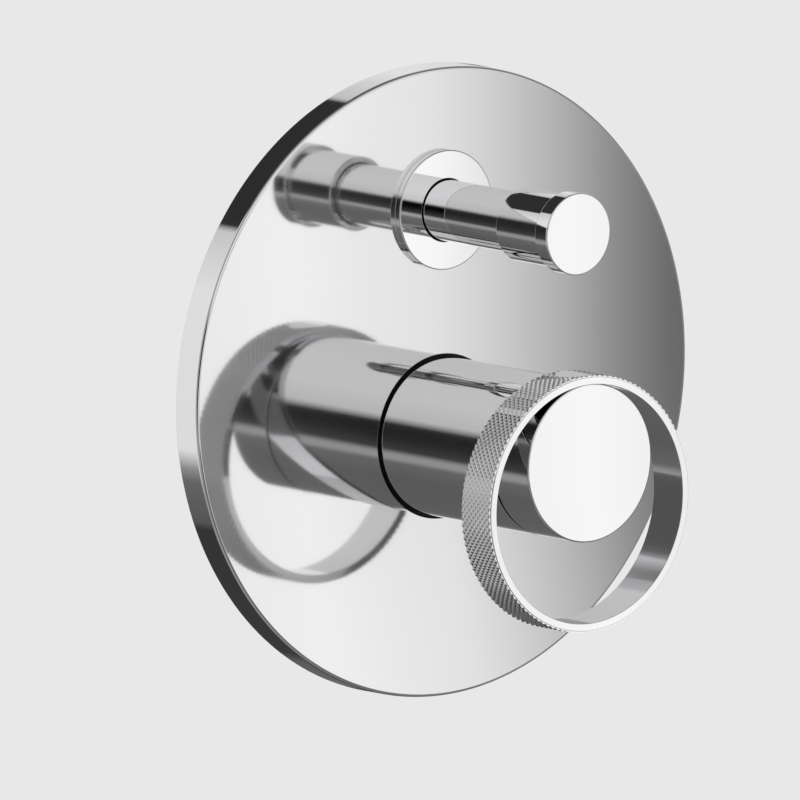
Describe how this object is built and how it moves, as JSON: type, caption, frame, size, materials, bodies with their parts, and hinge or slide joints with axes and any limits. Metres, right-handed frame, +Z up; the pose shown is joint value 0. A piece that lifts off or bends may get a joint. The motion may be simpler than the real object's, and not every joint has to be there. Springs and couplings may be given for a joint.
{
  "type": "shower mixer",
  "caption": "Concealed bath and shower mixer: round chrome plate, turning knurled ring handle on a sleeve, pull diverter knob above, brass valve behind.",
  "frame": {"origin": "centre of the round plate, on the finished wall", "axes": "+X to the right, +Y into the wall, +Z up"},
  "size_m": [0.2, 0.1333, 0.2],
  "materials": {
    "chrome_trim": "polished chrome plate",
    "brass": "cast and turned, bare",
    "steel": "turned stainless",
    "rubber_black": "moulded",
    "foam": "closed-cell foam",
    "white_plastic": "moulded acetal",
    "ceramic": "lapped alumina"
  },
  "bodies": {
    "wall_part": {"backplate": "chrome_trim", "wall_gasket": "foam", "sleeve_seal": "rubber_black", "mixer_sleeve": "chrome_trim", "sleeve_orings": "rubber_black", "handle_bush": "white_plastic", "valve_body": "brass", "cartridge_neck": "brass", "cartridge_nut": "brass", "cartridge_housing": "white_plastic", "cartridge_base": "white_plastic", "port_seals": "rubber_black", "fixed_disc": "ceramic", "diverter_rosette": "chrome_trim", "rosette_seal": "rubber_black", "diverter_sleeve": "chrome_trim", "diverter_bonnet": "brass", "bonnet_oring": "rubber_black", "rod_seal": "rubber_black"},
    "handle": {"handle_hub": "chrome_trim", "handle_ring": "chrome_trim", "handle_grub_screw": "steel", "moving_disc": "ceramic", "disc_driver": "white_plastic", "cartridge_spindle": "brass", "spindle_oring": "rubber_black", "spindle_extension": "brass", "extension_screw": "steel"},
    "knob": {"knob_body": "chrome_trim", "knob_cap": "chrome_trim", "knob_grub_screw": "steel", "diverter_rod": "steel", "diverter_spool": "brass", "spool_orings": "rubber_black"}
  },
  "joints": [
    {"name": "handle_turn", "type": "hinge", "parent": "wall_part", "child": "handle", "pos_m": [0, -0.0759, -0.0173], "axis": [0, -1, 0], "range_deg": [0, 110]},
    {"name": "knob_pull", "type": "slide", "parent": "wall_part", "child": "knob", "axis": [0, -1, 0], "range_m": [0, 0.012]}
  ]
}
